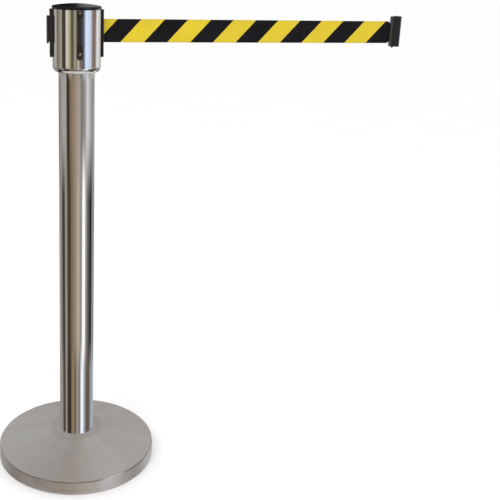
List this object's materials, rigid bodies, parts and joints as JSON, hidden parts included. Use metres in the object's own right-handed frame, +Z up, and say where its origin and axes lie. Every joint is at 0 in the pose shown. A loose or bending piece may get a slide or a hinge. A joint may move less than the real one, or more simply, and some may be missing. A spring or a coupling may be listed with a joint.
{
  "type": "retractable belt stanchion",
  "caption": "Free-standing crowd-control post with a domed weighted base, a spring-wound striped belt pulled out of its head to a clip, and T-rail receivers on its other sides.",
  "frame": {"origin": "centre of the base, on the floor", "axes": "+Z up along the post; +X the way the belt leaves the head; +Y completes the right-handed frame, so the pictured front is -Y"},
  "size_m": [0.8987, 0.3554, 1.0318],
  "materials": {
    "pad_rubber": "matt black",
    "cast_weight": "raw casting, black paint",
    "base_steel": "satin brushed stainless",
    "post_steel": "mirror-polished stainless",
    "head_steel": "mirror-polished stainless",
    "plug_plastic": "moulded nylon",
    "zinc_steel": "zinc plated",
    "cap_plastic": "polished black moulding",
    "plate_plastic": "satin black moulding",
    "black_screw": "blackened steel",
    "cassette_plastic": "moulded",
    "bright_steel": "ground",
    "spool_plastic": "moulded acetal",
    "bush_brass": "plain",
    "spring_steel": "blued strip",
    "belt_webbing": "woven polyester, yellow with slanted black stripes",
    "clip_plastic": "satin black moulding",
    "clip_plastic_core": "black moulding"
  },
  "bodies": {
    "stand": {"floor_pad": "pad_rubber", "base_weight": "cast_weight", "base_cover": "base_steel", "post_tube": "post_steel", "post_foot_plug": "plug_plastic", "post_top_plug": "plug_plastic", "tie_rod": "zinc_steel", "tie_nuts": "zinc_steel", "tie_washers": "zinc_steel", "head_cup": "head_steel", "cap": "cap_plastic", "receiver_left": "plate_plastic", "receiver_front": "plate_plastic", "receiver_back": "plate_plastic", "outlet_plate": "plate_plastic", "plate_screws": "black_screw", "cassette_base": "cassette_plastic", "cassette_top": "cassette_plastic", "cassette_screws": "zinc_steel", "spool_axle": "bright_steel", "guide_pins": "bright_steel", "spring_drum": "zinc_steel", "power_spring": "spring_steel", "belt": "belt_webbing"},
    "spool": {"spool": "spool_plastic", "spool_bushes": "bush_brass", "spring_arbor": "zinc_steel", "belt_roll": "belt_webbing", "belt_anchor_pin": "bright_steel"},
    "belt_end": {"clip_body": "clip_plastic", "clip_core": "clip_plastic_core", "clip_pin": "bright_steel"}
  },
  "joints": [
    {"name": "belt_pull", "type": "slide", "parent": "stand", "child": "belt_end", "axis": [1, 0, 0], "range_m": [-0.643, 1.355], "stiffness_N_per_m": 1.5, "springref_m": -3, "deforming": ["belt"]},
    {"name": "spool_spin", "type": "hinge", "parent": "stand", "child": "spool", "pos_m": [-0.004, -0.008, 0.977], "axis": [0, 0, 1], "range_deg": [-3257, 1548], "deforming": ["power_spring"]}
  ],
  "couplings": [
    {"joint": "spool_spin", "follows": "belt_pull", "rad_per_m": -41.884}
  ]
}
